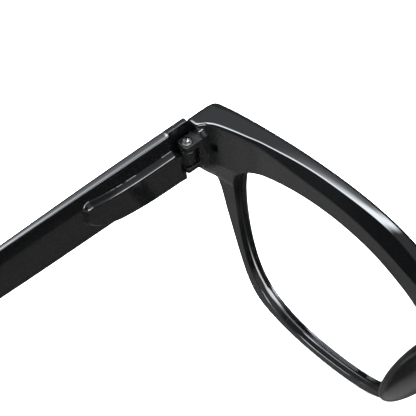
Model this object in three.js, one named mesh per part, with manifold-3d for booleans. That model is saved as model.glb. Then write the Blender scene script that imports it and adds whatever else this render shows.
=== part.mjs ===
// Full-rim eyeglasses: a moulded front, two lenses, two nose pads, and two
// temples that fold on three-barrel screw hinges.
// Millimetres. +X is the wearer's left, -Y faces forward, +Z is up, X = 0 is
// the plane of symmetry. The origin is the middle of the base that the glasses
// stand on, with the temples open.
import * as THREE from 'three';
import { mergeVertices } from 'three/addons/utils/BufferGeometryUtils.js';
import Module from 'manifold-3d';

// ---- driving dimensions -------------------------------------------------
const WRAP = 0.00115;          // front surface: y = WRAP * x^2
const HALF_WIDTH = 65.5;       // half the width over the end pieces
const JOINT_FACE_Y = 11.33;    // rear face of the end piece, where the temple butts
const JOINT_FACE_X = 62.85;    // inboard edge of that face
// how far the rear surface of the end piece stands behind the rim's, by x
const STEP = [[52, 0], [54.3, 0.3], [56.35, 0.5], [58.3, 0.78], [59.8, 1.02],
  [60.8, 1.3], [61.7, 1.78], [62.4, 2.6], [62.85, 2.89]];
// block around the hinge leaf's foot, seen from behind, (x, z)
const BOSS = [[61.2, 37.0], [63.2, 37.0], [63.2, 46.1], [62.7, 46.1], [62.0, 45.5],
  [61.5, 44.8], [61.2, 43.9]];
const GROOVE_FRONT = 0.40;     // lens groove, measured back from the front surface
const GROOVE_BACK = 1.90;
const GROOVE_DEPTH = 0.80;
const LENS_FRONT = 0.55;
const LENS_BACK = 1.75;
const LENS_IN_GROOVE = 0.50;
const LENS_BULGE = 0.9;        // how far the middle of the lens stands forward
const FOOT_Z = -3.10;          // the flat that the rims and the temple tips rest on

const HINGE_X = 62.6;          // vertical hinge axis
const HINGE_Y = 13.5;
const KNUCKLE_R = 1.3;
const SCREW_R = 0.60;
const SCREW_HOLE_R = 0.70;
const HEAD_R = 0.88;
const HEAD_HOLE_R = 1.0;
const BARRELS = [[38.0, 39.1], [39.3, 42.6], [42.8, 44.2]]; // lower, temple, upper
const TONGUE_Z = [39.3, 41.1];  // flat tongue that runs into the temple
const PLATE_THICK = 1.4;       // squared end plates of the front leaf's barrels
const LEAF_ARM_Y = 11.63;      // front end of the leaf's arms, just behind the boss

const TEMPLE_START_Y = JOINT_FACE_Y + 0.30;
const TEMPLE_INNER_X = 63.6;   // flat inner face
const TEMPLE_OUTER_X = 65.5;   // outer face at the hinge
const TEMPLE_WALL_X = 64.45;   // inside of the thin wall beside the hinge
const TEMPLE_NOTCH_END_Y = 16.0; // above the raised panel
const TEMPLE_PANEL_START_Y = 15.15;
const TEMPLE_END_Y = 14.2;     // full-thickness end, under the barrels
const PAD_PROUD = 1.1;         // raised panel on the temple's inner face

// ---- outline of the front, seen from behind; the +X half ---------------
// Each row pairs a point of the outer edge with one of the lens opening:
// [outer x, outer z, inner x, inner z, thickness, rear chamfer across,
//  rear chamfer along y, front edge radius]
const OUTLINE = [
  [0.0, 39.0, 17.3, 34.75, 4.6, 1.5, 1.8, 0.8],
  [7.0, 39.3, 19.4, 36.2, 4.6, 1.6, 1.8, 0.8],
  [13.0, 40.2, 21.9, 37.45, 4.5, 1.7, 2.0, 0.8],
  [17.5, 41.7, 24.6, 38.4, 4.3, 1.9, 2.0, 0.8],
  [21.5, 43.4, 27.6, 39.2, 4.1, 2.1, 2.0, 0.8],
  [26.0, 44.8, 30.8, 39.8, 4.0, 2.4, 2.2, 0.8],
  [31.5, 45.9, 34.8, 40.4, 3.9, 2.8, 2.4, 0.8],
  [37.5, 46.5, 39.0, 40.75, 3.9, 3.1, 2.5, 0.8],
  [43.5, 46.85, 43.5, 40.65, 3.9, 3.3, 2.5, 0.8],
  [49.0, 47.0, 47.5, 40.2, 3.9, 2.4, 1.9, 0.8],
  [54.0, 46.9, 50.8, 39.5, 3.9, 1.3, 1.0, 0.8],
  [58.5, 46.75, 53.4, 38.65, 3.9, 0.6, 0.5, 0.8],
  [62.3, 46.5, 55.2, 37.75, 3.9, 0.3, 0.3, 0.9],
  [65.5, 46.2, 56.5, 36.7, 3.9, 0.25, 0.25, 1.2],
  [65.5, 42.5, 57.4, 35.5, 3.9, 0.25, 0.25, 2.0],
  [65.5, 39.0, 58.0, 34.1, 3.9, 0.25, 0.25, 2.0],
  [65.5, 35.6, 58.45, 32.4, 3.8, 0.25, 0.25, 1.8],
  [64.6, 33.4, 58.8, 30.3, 3.6, 0.5, 0.5, 1.3],
  [63.6, 30.9, 59.0, 28.0, 3.3, 0.7, 0.7, 1.0],
  [63.0, 27.6, 59.1, 25.5, 3.1, 0.8, 0.8, 1.0],
  [62.6, 24.0, 59.05, 22.4, 3.0, 0.8, 0.8, 1.0],
  [61.9, 20.6, 58.85, 19.2, 3.0, 0.8, 0.8, 1.0],
  [61.2, 17.0, 58.5, 16.2, 3.0, 0.8, 0.8, 1.0],
  [60.4, 13.2, 57.9, 13.0, 3.0, 0.8, 0.8, 1.0],
  [59.5, 9.6, 57.0, 9.8, 3.0, 0.8, 0.8, 1.0],
  [58.5, 6.6, 55.6, 7.0, 3.0, 0.8, 0.8, 1.0],
  [56.9, 3.7, 53.6, 4.5, 3.0, 0.8, 0.8, 1.0],
  [54.2, 1.4, 51.0, 2.5, 3.0, 0.8, 0.8, 1.0],
  [50.6, -0.4, 47.9, 1.0, 3.0, 0.8, 0.8, 1.0],
  [46.5, -1.8, 44.3, 0.0, 3.0, 0.8, 0.8, 1.0],
  [41.5, -2.8, 40.5, -0.6, 3.0, 0.8, 0.8, 1.0],
  [36.5, -3.2, 36.5, -0.8, 3.0, 0.8, 0.8, 1.0],
  [31.5, -2.9, 32.3, -0.55, 3.0, 0.8, 0.8, 1.0],
  [27.2, -1.35, 28.7, 0.55, 3.0, 0.8, 0.8, 1.0],
  [23.6, 1.6, 25.6, 2.9, 3.2, 0.8, 0.9, 1.0],
  [20.6, 5.4, 22.8, 6.0, 3.5, 0.9, 1.0, 1.0],
  [17.9, 9.3, 20.1, 9.5, 3.9, 0.9, 1.0, 1.0],
  [15.5, 13.0, 17.6, 13.0, 4.4, 0.9, 1.0, 1.0],
  [13.3, 16.7, 15.5, 16.6, 4.8, 0.9, 1.0, 1.0],
  [11.2, 20.6, 13.6, 20.2, 4.8, 0.9, 1.0, 1.0],
  [8.6, 24.5, 12.4, 23.7, 4.8, 0.9, 1.0, 1.0],
  [5.9, 28.2, 11.7, 26.3, 4.8, 1.0, 1.0, 1.0],
  [3.4, 30.8, 12.6, 28.8, 4.8, 1.0, 1.0, 1.0],
  [0.0, 31.8, 13.7, 30.8, 4.8, 1.0, 1.0, 1.0],
  [0.0, 34.2, 14.8, 32.3, 4.7, 0, 0, 0],
  [0.0, 36.6, 16.0, 33.6, 4.7, 0, 0, 0],
];
const CORNERS = [0, 13, 16, 43];   // rows where the outer edge turns sharply
const STEPS = 2;                   // stations between two rows

// ---- helpers ------------------------------------------------------------
const wasm = await Module();
wasm.setup();

const lerp = (a, b, t) => a + (b - a) * t;
const clamp01 = (v) => Math.min(1, Math.max(0, v));

function toSolid(geometry) {
  const g = geometry.clone();
  g.deleteAttribute('normal');
  g.deleteAttribute('uv');
  const m = mergeVertices(g, 1e-4);
  return new wasm.Manifold(new wasm.Mesh({
    numProp: 3,
    vertProperties: new Float32Array(m.attributes.position.array),
    triVerts: new Uint32Array(m.index.array),
  }));
}

function fromSolid(solid) {
  const mesh = solid.getMesh();
  const g = new THREE.BufferGeometry();
  const n = mesh.numProp;
  const count = mesh.vertProperties.length / n;
  const p = new Float32Array(count * 3);
  for (let i = 0; i < count; i++) {
    for (let k = 0; k < 3; k++) p[i * 3 + k] = mesh.vertProperties[i * n + k];
  }
  g.setAttribute('position', new THREE.BufferAttribute(p, 3));
  g.setIndex(new THREE.BufferAttribute(new Uint32Array(mesh.triVerts), 1));
  g.computeVertexNormals();
  return g;
}

function box(x0, x1, y0, y1, z0, z1) {
  const g = new THREE.BoxGeometry(x1 - x0, y1 - y0, z1 - z0);
  g.translate((x0 + x1) / 2, (y0 + y1) / 2, (z0 + z1) / 2);
  return g;
}

// upright post with a rounded rectangle as its section
function squarePost(x0, x1, y0, y1, r, z0, z1) {
  const s = new THREE.Shape();
  s.moveTo(x0 + r, y0);
  s.absarc(x1 - r, y0 + r, r, -Math.PI / 2, 0, false);
  s.absarc(x1 - r, y1 - r, r, 0, Math.PI / 2, false);
  s.absarc(x0 + r, y1 - r, r, Math.PI / 2, Math.PI, false);
  s.absarc(x0 + r, y0 + r, r, Math.PI, Math.PI * 1.5, false);
  const g = new THREE.ExtrudeGeometry(s, { depth: z1 - z0, steps: 1, bevelEnabled: false, curveSegments: 5 });
  g.translate(0, 0, z0);
  return g;
}

// upright cylinder, its axis through (x, y)
function post(x, y, r, z0, z1, sides = 20) {
  const g = new THREE.CylinderGeometry(r, r, z1 - z0, sides);
  g.rotateX(Math.PI / 2);
  g.translate(x, y, (z0 + z1) / 2);
  return g;
}

// the same geometry on the other side of X = 0, still facing out
function mirrored(geometry) {
  const g = geometry.index ? geometry.clone() : mergeVertices(geometry.clone(), 1e-5);
  const p = g.attributes.position;
  for (let i = 0; i < p.count; i++) p.setX(i, -p.getX(i));
  const idx = g.index.array.slice();
  for (let i = 0; i < idx.length; i += 3) {
    const t = idx[i + 1]; idx[i + 1] = idx[i + 2]; idx[i + 2] = t;
  }
  g.setIndex(new THREE.BufferAttribute(new Uint32Array(idx), 1));
  g.computeVertexNormals();
  return g;
}

// closed skin over rows of points: rows[i][j], j around the section
function skin(rows, { closedRows = false, drop = null } = {}) {
  const n = rows.length, m = rows[0].length;
  const pos = [], idx = [];
  for (const row of rows) for (const p of row) pos.push(p[0], p[1], p[2]);
  const at = (i, j) => (i % n) * m + (j % m);
  const tri = (a, b, c) => {
    const P = [a, b, c].map((v) => [pos[v * 3], pos[v * 3 + 1], pos[v * 3 + 2]]);
    if (drop && drop(P)) return;
    const key = P.map((q) => q.map((v) => Math.round(v * 1e4)).join());
    if (key[0] === key[1] || key[1] === key[2] || key[0] === key[2]) return;
    idx.push(a, b, c);
  };
  const last = closedRows ? n : n - 1;
  for (let i = 0; i < last; i++) {
    for (let j = 0; j < m; j++) {
      tri(at(i, j), at(i, j + 1), at(i + 1, j + 1));
      tri(at(i, j), at(i + 1, j + 1), at(i + 1, j));
    }
  }
  if (!closedRows) {
    for (const [r, flip] of [[0, true], [n - 1, false]]) {
      const c = [0, 1, 2].map((k) => rows[r].reduce((s, p) => s + p[k], 0) / m);
      const ci = pos.length / 3;
      pos.push(...c);
      for (let j = 0; j < m; j++) {
        if (flip) tri(ci, at(r, j + 1), at(r, j)); else tri(ci, at(r, j), at(r, j + 1));
      }
    }
  }
  const g = new THREE.BufferGeometry();
  g.setAttribute('position', new THREE.Float32BufferAttribute(pos, 3));
  g.setIndex(idx);
  return g;
}

function volume(g) {
  const p = g.attributes.position, ix = g.index.array;
  let v = 0;
  const a = new THREE.Vector3(), b = new THREE.Vector3(), c = new THREE.Vector3();
  for (let i = 0; i < ix.length; i += 3) {
    a.fromBufferAttribute(p, ix[i]); b.fromBufferAttribute(p, ix[i + 1]); c.fromBufferAttribute(p, ix[i + 2]);
    v += a.dot(b.cross(c)) / 6;
  }
  return v;
}

function facingOut(g) {
  if (volume(g) >= 0) return g;
  const ix = g.index.array;
  for (let i = 0; i < ix.length; i += 3) { const t = ix[i + 1]; ix[i + 1] = ix[i + 2]; ix[i + 2] = t; }
  return g;
}

// ---- the front's stations ----------------------------------------------
function curve2(points, closed) {
  return new THREE.CatmullRomCurve3(points.map((p) => new THREE.Vector3(p[0], p[1], 0)), closed, 'centripetal');
}

function makeStations() {
  const n = OUTLINE.length;
  const inner = curve2(OUTLINE.map((r) => [r[2], r[3]]), true);
  const runs = CORNERS.map((a, k) => {
    const b = k + 1 < CORNERS.length ? CORNERS[k + 1] : n;
    const pts = [];
    for (let i = a; i <= b; i++) pts.push([OUTLINE[i % n][0], OUTLINE[i % n][1]]);
    return { a, b, c: curve2(pts, false) };
  });
  const out = [];
  for (let i = 0; i < n * STEPS; i++) {
    const u = i / STEPS, k = Math.floor(u), f = u - k;
    const r0 = OUTLINE[k], r1 = OUTLINE[(k + 1) % n];
    const run = runs.find((q) => u >= q.a && u < q.b);
    const o = run.c.getPoint((u - run.a) / (run.b - run.a));
    const q = inner.getPoint(u / n);
    const wall = k >= 43 && !(k === 43 && f === 0);
    out.push({
      o: [wall ? 0 : o.x, o.y], q: [q.x, q.y], wall,
      t: lerp(r0[4], r1[4], f),
      ca: wall ? 0 : lerp(r0[5], r1[5], f),
      cy: wall ? 0 : lerp(r0[6], r1[6], f),
      ro: wall ? 0 : lerp(r0[7], r1[7], f),
      row: u,
    });
  }
  out[0].o[0] = 0;
  const N = out.length;
  const mitre = (key, i) => {
    const seg = (a, b) => {
      const dx = b[0] - a[0], dz = b[1] - a[1], l = Math.hypot(dx, dz) || 1;
      return [-dz / l, dx / l];
    };
    const a = seg(out[(i + N - 1) % N][key], out[i][key]);
    const b = seg(out[i][key], out[(i + 1) % N][key]);
    const k = 1 + a[0] * b[0] + a[1] * b[1];
    return [(a[0] + b[0]) / k, (a[1] + b[1]) / k];
  };
  out.forEach((s, i) => {
    s.no = mitre('o', i);          // outward from the outer edge
    s.nq = mitre('q', i);          // from the opening into the rim
    if (s.row === 0) s.no = [0, 1];
    if (s.row === 43) s.no = [0, -1];
    if (s.wall) s.no = [-1, 0];
  });
  return out;
}
const STATIONS = makeStations();

const frontY = (x) => WRAP * x * x;
function stepY(x) {
  if (x <= STEP[0][0]) return 0;
  for (let i = 1; i < STEP.length; i++) {
    const [a, p] = STEP[i - 1], [b, q] = STEP[i];
    if (x <= b) return lerp(p, q, (x - a) / (b - a));
  }
  return STEP[STEP.length - 1][1];
}
function rearY(x, z, t) {
  const base = frontY(x) + t;
  // the underside of the end piece slopes up and back to the joint face
  const a = clamp01((x - 61.3) / (JOINT_FACE_X - 61.3));
  const b = clamp01((x - JOINT_FACE_X) / (HALF_WIDTH - JOINT_FACE_X));
  const foot = lerp(31.2, 30.9, a), head = lerp(lerp(36.9, 35.85, a), 35.4, b);
  const g = clamp01((z - foot) / (head - foot));
  if (x >= JOINT_FACE_X) return lerp(base, JOINT_FACE_Y, g);
  return base + g * stepY(x) * (JOINT_FACE_Y - frontY(JOINT_FACE_X) - t) / 2.89;
}

function frontHalf() {
  const rows = STATIONS.map((s) => {
    const [ox, oz] = s.o, [qx, qz] = s.q;
    const into = (d) => [qx + s.nq[0] * d, qz + s.nq[1] * d];
    const back = (d) => [ox - s.no[0] * d, oz - s.no[1] * d];
    const F = (p, dy) => [p[0], frontY(p[0]) + dy, p[1]];
    const R = (p, dy) => [p[0], rearY(p[0], p[1], s.t) + dy, p[1]];
    const fi = into(0.35), fo = back(s.ro);
    const ri = into(0.5), rr = back(s.ca);
    const mid = (a, b, t) => [lerp(a[0], b[0], t), lerp(a[1], b[1], t)];
    let tm = [0.8, 0.55, 0.3];
    if (rr[0] > JOINT_FACE_X + 0.05) {
      tm = [JOINT_FACE_X, 61.7, 60.0].map((x) => (x - ri[0]) / (rr[0] - ri[0]));
      tm[2] = Math.max(tm[1] * 0.35, tm[2]);
    }
    return [
      R([qx, qz], -0.5),
      F([qx, qz], GROOVE_BACK),
      F(into(GROOVE_DEPTH), GROOVE_BACK),
      F(into(GROOVE_DEPTH), GROOVE_FRONT),
      F([qx, qz], GROOVE_FRONT),
      F(fi, 0),
      F(mid(fi, fo, 0.5), 0),
      F(fo, 0),
      F(back(s.ro * 0.3), s.ro * 0.3),
      F([ox, oz], s.ro),
      R([ox, oz], -s.cy),
      R(back(s.ca * 0.42), -s.cy * 0.42),
      R(rr, 0),
      R(mid(ri, rr, tm[0]), 0),
      R(mid(ri, rr, tm[1]), 0),
      R(mid(ri, rr, tm[2]), 0),
      R(ri, 0),
    ];
  });
  return skin(rows, {
    closedRows: true,
    drop: (P) => P.every((q) => Math.abs(q[0]) < 1e-6),
  });
}

function frontBody() {
  const half = frontHalf();
  const pos = Array.from(half.attributes.position.array);
  const idx = Array.from(half.index.array);
  const n = pos.length / 3;
  const other = pos.slice();
  for (let i = 0; i < n; i++) other[i * 3] = -other[i * 3];
  const g = new THREE.BufferGeometry();
  g.setAttribute('position', new THREE.Float32BufferAttribute(pos.concat(other), 3));
  const flipped = [];
  for (let i = 0; i < idx.length; i += 3) flipped.push(idx[i] + n, idx[i + 2] + n, idx[i + 1] + n);
  g.setIndex(idx.concat(flipped));
  return facingOut(mergeVertices(g, 1e-4));
}

// everything below the flat that the glasses rest on
const below = () => box(-90, 90, -30, 190, -60, FOOT_Z);

// ---- front frame, with a pocket in each end piece for the hinge leaf -----
const FOOT = { x0: 61.95, x1: 63.7, y0: 7.6, z0: BARRELS[0][0] + 0.35, z1: BARRELS[2][1] - 0.35 };
const POCKET_GAP = 0.3;
function pocket() {
  return box(FOOT.x0 - POCKET_GAP, FOOT.x1 + POCKET_GAP, FOOT.y0 - POCKET_GAP, 20,
    FOOT.z0 - POCKET_GAP, FOOT.z1 + POCKET_GAP);
}
function prism(outline, y0, y1) {         // an (x, z) outline drawn along y
  const shape = new THREE.Shape(outline.map((p) => new THREE.Vector2(p[0], p[1])));
  const g = new THREE.ExtrudeGeometry(shape, { depth: y1 - y0, steps: 1, bevelEnabled: false });
  g.rotateX(Math.PI / 2);                 // (u, v, w) becomes (u, -w, v)
  g.translate(0, y1, 0);
  return g;
}
const boss = () => prism(BOSS, 8.0, JOINT_FACE_Y);
let frontSolid = toSolid(frontBody());
frontSolid = frontSolid.add(toSolid(boss())).add(toSolid(mirrored(boss())));
frontSolid = frontSolid.subtract(toSolid(pocket())).subtract(toSolid(mirrored(pocket())));
// small square slot in the rear face beside the pocket
const slot = () => box(60.1, 61.18, 8.2, 20, 40.1, 41.9);
frontSolid = frontSolid.subtract(toSolid(slot())).subtract(toSolid(mirrored(slot())));
frontSolid = frontSolid.subtract(toSolid(below()));

// ---- lens: a curved disc whose rim sits in the groove --------------------
function lensGeometry() {
  const pts = STATIONS.map((s) => [s.q[0] + s.nq[0] * LENS_IN_GROOVE, s.q[1] + s.nq[1] * LENS_IN_GROOVE]);
  const cx = 36, cz = 19.5;
  const rings = [1, 0.72, 0.38];
  const rows = pts.map(([x, z]) => {
    const at = (k, y) => {
      const px = cx + (x - cx) * k, pz = cz + (z - cz) * k;
      return [px, frontY(px) + y - LENS_BULGE * (1 - k * k), pz];
    };
    const row = rings.map((k) => at(k, LENS_FRONT));
    row.push(at(0, LENS_FRONT), at(0, LENS_BACK));
    for (const k of rings.slice().reverse()) row.push(at(k, LENS_BACK));
    return row;
  });
  const g = skin(rows, {
    closedRows: true,
    drop: (P) => P.every((q) => Math.abs(q[0] - cx) < 1e-6 && Math.abs(q[2] - cz) < 1e-6),
  });
  return facingOut(mergeVertices(g, 1e-4));
}

// ---- nose pad: a rounded wing behind the nasal side of the rim ------------
function nosePadGeometry() {
  const g = new THREE.SphereGeometry(1, 22, 14);
  g.scale(2.45, 6.65, 12.9);              // across, fore-and-aft, along the rim
  g.rotateZ(-0.29);                       // splayed: the rear edge is further out
  g.rotateX(0.22);                        // the top runs forward into the rim
  g.rotateY(-0.44);                       // leaning along the nasal rim
  g.translate(13.4, 5.9, 22.6);
  const wall = new THREE.BoxGeometry(40, 12, 44, 20, 1, 1);
  const p = wall.attributes.position;     // in front of the rim's rear surface
  for (let i = 0; i < p.count; i++) {
    const x = p.getX(i) + 16;
    p.setXYZ(i, x, p.getY(i) > 0 ? frontY(x) + 5.15 : -10, p.getZ(i) + 18);
  }
  return facingOut(fromSolid(toSolid(g).subtract(toSolid(wall))));
}

// ---- hinge ----------------------------------------------------------------
function frontLeaf() {
  const [lo, , hi] = BARRELS;
  let s = null;
  const add = (g) => { const m = toSolid(g); s = s ? s.add(m) : m; };
  for (const [z0, z1] of [lo, hi]) {
    add(post(HINGE_X, HINGE_Y, KNUCKLE_R, z0, z1, 28));
    add(squarePost(HINGE_X - KNUCKLE_R, HINGE_X + KNUCKLE_R, LEAF_ARM_Y, HINGE_Y + 1.25, 0.5,
      Math.max(z0, z1 - PLATE_THICK), z1));
    add(box(HINGE_X - KNUCKLE_R, HINGE_X + KNUCKLE_R, LEAF_ARM_Y, HINGE_Y, z0, z1));
    add(box(FOOT.x0, FOOT.x1, LEAF_ARM_Y - 1, HINGE_Y, Math.max(z0, FOOT.z0), Math.min(z1, FOOT.z1)));
  }
  add(box(FOOT.x0, FOOT.x1, FOOT.y0, LEAF_ARM_Y + 0.25, FOOT.z0, FOOT.z1));
  s = s.subtract(toSolid(post(HINGE_X, HINGE_Y, SCREW_HOLE_R, 30, 50)));
  s = s.subtract(toSolid(post(HINGE_X, HINGE_Y, HEAD_HOLE_R, hi[1] - 0.75, 50)));
  return fromSolid(s);
}

function templeLeaf() {
  const [, mid] = BARRELS;
  let s = toSolid(post(HINGE_X, HINGE_Y, KNUCKLE_R, mid[0], mid[1], 28));
  s = s.add(toSolid(box(63.2, 64.1, HINGE_Y, 23.0, TONGUE_Z[0], TONGUE_Z[1])));
  s = s.add(toSolid(box(HINGE_X, 63.9, HINGE_Y, 15.0, TONGUE_Z[0], TONGUE_Z[1])));
  s = s.subtract(toSolid(post(HINGE_X, HINGE_Y, SCREW_HOLE_R, 30, 50)));
  return fromSolid(s);
}

function screw() {
  const top = BARRELS[2][1];
  let s = toSolid(post(HINGE_X, HINGE_Y, SCREW_R, BARRELS[0][0] + 0.2, top - 0.3));
  s = s.add(toSolid(post(HINGE_X, HINGE_Y, HEAD_R, top - 0.6, top + 0.02, 24)));
  for (const a of [0, Math.PI / 2]) {     // cross recess
    const slot = new THREE.BoxGeometry(1.3, 0.28, 0.5);
    slot.rotateZ(a + 0.5);
    slot.translate(HINGE_X, HINGE_Y, top + 0.02);
    s = s.subtract(toSolid(slot));
  }
  return fromSolid(s);
}

// ---- temple ------------------------------------------------------------
// Stations: [y, centre z, height, thickness at mid height, thickness at top].
const TEMPLE = [
  [TEMPLE_START_Y, 40.95, 11.2, 1.95, 1.9],
  [20, 40.95, 11.2, 2.3, 1.9],
  [32, 41.0, 11.15, 2.5, 1.7],
  [46, 41.0, 11.1, 2.7, 1.3],
  [62, 40.95, 10.4, 2.8, 1.1],
  [78, 40.7, 9.3, 2.8, 1.0],
  [90, 40.2, 8.6, 2.9, 1.0],
  [99, 38.9, 8.2, 3.0, 1.1],
  [107, 35.6, 8.2, 3.1, 1.1],
  [115, 30.2, 8.3, 3.1, 1.1],
  [123, 23.6, 8.6, 3.1, 1.1],
  [131, 16.2, 9.0, 3.0, 1.0],
  [138.5, 8.2, 9.2, 2.9, 1.0],
  [144.6, 1.1, 9.0, 2.8, 1.0],
];
function templeGeometry() {
  const line = curve2(TEMPLE.map((r) => [r[0], r[1]]), false);
  const n = TEMPLE.length - 1, sub = 3;
  const rows = [];
  const ring = (u, grow, shift) => {
    const k = Math.min(n - 1, Math.floor(u)), f = u - k;
    const a = TEMPLE[k], b = TEMPLE[k + 1];
    const c = line.getPoint(u / n), d = line.getTangent(u / n);
    const h = lerp(a[2], b[2], f) / 2 * grow, tm = lerp(a[3], b[3], f), tt = lerp(a[4], b[4], f);
    const up = [-d.y, d.x];                       // across the temple, in (y, z)
    const P = (x, v) => [x, c.x + up[0] * v + d.x * shift, c.y + up[1] * v + d.y * shift];
    const xi = TEMPLE_INNER_X + (1 - grow) * 0.9;
    const xo = (w) => TEMPLE_INNER_X + w - (1 - grow) * 0.9;
    return [
      P(xi, h - 0.3), P(xi, 0), P(xi, -h + 0.3), P(xi + 0.3, -h),
      P(xo(tt) - 0.3, -h), P(xo(tt), -h + 0.4), P(xo(lerp(tt, tm, 0.75)), -h * 0.5),
      P(xo(tm), 0), P(xo(lerp(tt, tm, 0.75)), h * 0.5), P(xo(tt), h - 0.4),
      P(xo(tt) - 0.3, h), P(xi + 0.3, h),
    ];
  };
  for (let i = 0; i <= n * sub; i++) rows.push(ring(i / sub, 1, 0));
  // rounded tip
  for (const [g, s] of [[0.93, 1.6], [0.78, 2.9], [0.52, 3.8], [0.2, 4.2]]) rows.push(ring(n, g, s));
  rows[0] = rows[0].map((p) => [p[0], TEMPLE_START_Y, p[2]]);
  let s = toSolid(facingOut(skin(rows)));
  // raised panel on the lower half of the inner face
  const panel = new THREE.Shape();
  panel.moveTo(12.5, 35.4);
  panel.lineTo(21.5, 35.4);
  panel.lineTo(28.0, 36.2);
  panel.lineTo(32.6, 38.7);
  panel.lineTo(33.4, 41.2);
  panel.lineTo(31.5, 42.4);
  panel.lineTo(28.0, 41.5);
  panel.lineTo(12.5, 41.9);
  panel.closePath();
  const pg = new THREE.ExtrudeGeometry(panel, {
    depth: 0.9, steps: 1, bevelEnabled: true, bevelThickness: PAD_PROUD - 0.3, bevelSize: 0.7, bevelOffset: -0.7, bevelSegments: 2,
  });
  // shape (u, v) with depth w becomes y = u, z = v, x = inner face - w
  const m = new THREE.Matrix4().set(0, 0, 1, 0, 1, 0, 0, 0, 0, 1, 0, 0, 0, 0, 0, 1);
  pg.applyMatrix4(m);
  pg.translate(TEMPLE_INNER_X - 0.3, 0, 0);
  s = s.add(toSolid(pg));
  // clear the barrels, and leave a thin outer wall beside them
  s = s.subtract(toSolid(box(55, TEMPLE_WALL_X, 0, TEMPLE_PANEL_START_Y, BARRELS[0][0] - 0.25, 50)));
  s = s.subtract(toSolid(box(55, TEMPLE_WALL_X, 0, TEMPLE_END_Y, 30, 50)));
  s = s.subtract(toSolid(box(55, TEMPLE_WALL_X, 0, TEMPLE_NOTCH_END_Y, 42.0, 50)));
  // slot for the hinge leaf's tongue
  s = s.subtract(toSolid(box(62.92, 64.4, 10, 23.3, TONGUE_Z[0] - 0.28, TONGUE_Z[1] + 0.28)));
  s = s.subtract(toSolid(below()));
  return fromSolid(s);
}

// ---- assembly -----------------------------------------------------------
const material = (color, roughness, metalness = 0, extra = {}) =>
  new THREE.MeshStandardMaterial({ color, roughness, metalness, ...extra });
const group = new THREE.Group();
function addMesh(name, geometry, mat) {
  const mesh = new THREE.Mesh(geometry, mat);
  mesh.name = name;
  group.add(mesh);
  return mesh;
}
const BLACK = 0x0b0c0d;
addMesh('front_frame', fromSolid(frontSolid), material(BLACK, 0.12));
const parts = [
  ['lens', lensGeometry(), () => material(0xf4f8fa, 0.03, 0, { transparent: true, opacity: 0.25 })],
  ['nose_pad', nosePadGeometry(), () => material(0x141516, 0.15)],
  ['front_hinge', frontLeaf(), () => material(0x101112, 0.3, 0.6)],
  ['temple_hinge', templeLeaf(), () => material(0x101112, 0.3, 0.6)],
  ['hinge_screw', screw(), () => material(0xc8ccd0, 0.25, 1)],
  ['temple', templeGeometry(), () => material(BLACK, 0.12)],
];
for (const [name, g, mat] of parts) {
  addMesh(`${name}_left`, g, mat());
  addMesh(`${name}_right`, mirrored(g), mat());
}

// stand the glasses on the base plane, with the origin in the middle of it
const bounds = new THREE.Box3().setFromObject(group);
group.position.set(0, -(bounds.min.y + bounds.max.y) / 2, -bounds.min.z);

export default group;
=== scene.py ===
import math

import bpy
import bmesh
import numpy as np
from mathutils import Matrix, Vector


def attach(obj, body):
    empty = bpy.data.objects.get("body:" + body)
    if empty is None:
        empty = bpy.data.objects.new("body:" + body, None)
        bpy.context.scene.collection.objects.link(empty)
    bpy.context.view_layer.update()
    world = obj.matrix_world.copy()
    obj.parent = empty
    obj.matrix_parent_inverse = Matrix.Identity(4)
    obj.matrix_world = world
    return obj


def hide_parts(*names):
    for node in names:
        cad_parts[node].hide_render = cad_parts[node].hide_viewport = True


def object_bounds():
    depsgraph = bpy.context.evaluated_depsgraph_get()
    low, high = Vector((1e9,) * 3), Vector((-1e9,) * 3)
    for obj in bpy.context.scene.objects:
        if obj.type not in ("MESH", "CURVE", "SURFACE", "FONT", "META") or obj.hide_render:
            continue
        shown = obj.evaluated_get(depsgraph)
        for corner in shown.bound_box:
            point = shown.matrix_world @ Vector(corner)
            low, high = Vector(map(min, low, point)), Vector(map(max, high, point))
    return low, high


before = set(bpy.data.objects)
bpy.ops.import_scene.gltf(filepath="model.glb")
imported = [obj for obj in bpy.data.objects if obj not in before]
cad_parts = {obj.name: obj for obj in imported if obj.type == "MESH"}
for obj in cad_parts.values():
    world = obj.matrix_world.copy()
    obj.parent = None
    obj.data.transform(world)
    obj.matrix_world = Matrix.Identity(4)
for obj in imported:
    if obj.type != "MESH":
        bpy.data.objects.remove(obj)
CAD_BOX = [[float(v) for v in c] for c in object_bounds()]

# ---------------------------------------------------------------- the frame
# Lengths below are in millimetres in the glasses' own design frame, where
# y = 0 is the foremost plane of the front and FOOT_Z the plane it rests on.
# place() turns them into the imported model's frame, in metres.
FOOT_Z = -3.10
OFF = np.array([0.0, CAD_BOX[0][1] * 1000.0, CAD_BOX[0][2] * 1000.0 - FOOT_Z])


def place(p):
    return (np.asarray(p, float) + OFF) / 1000.0


WRAP = 0.00115
HALF_WIDTH = 65.5
JOINT_FACE_X, JOINT_FACE_Y = 62.85, 11.33
STEP = np.array([[52, 0], [54.3, 0.3], [56.35, 0.5], [58.3, 0.78], [59.8, 1.02],
                 [60.8, 1.3], [61.7, 1.78], [62.4, 2.6], [62.85, 2.89]])
HINGE_X, HINGE_Y = 62.6, 13.5
LOWER, MIDDLE, UPPER = (38.0, 39.1), (39.3, 42.6), (42.8, 44.2)
TONGUE_Z = (39.3, 41.1)
TEMPLE_START_Y = 11.63
TEMPLE_INNER_X = 63.6
TEMPLE_WALL_X = 64.45

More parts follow.
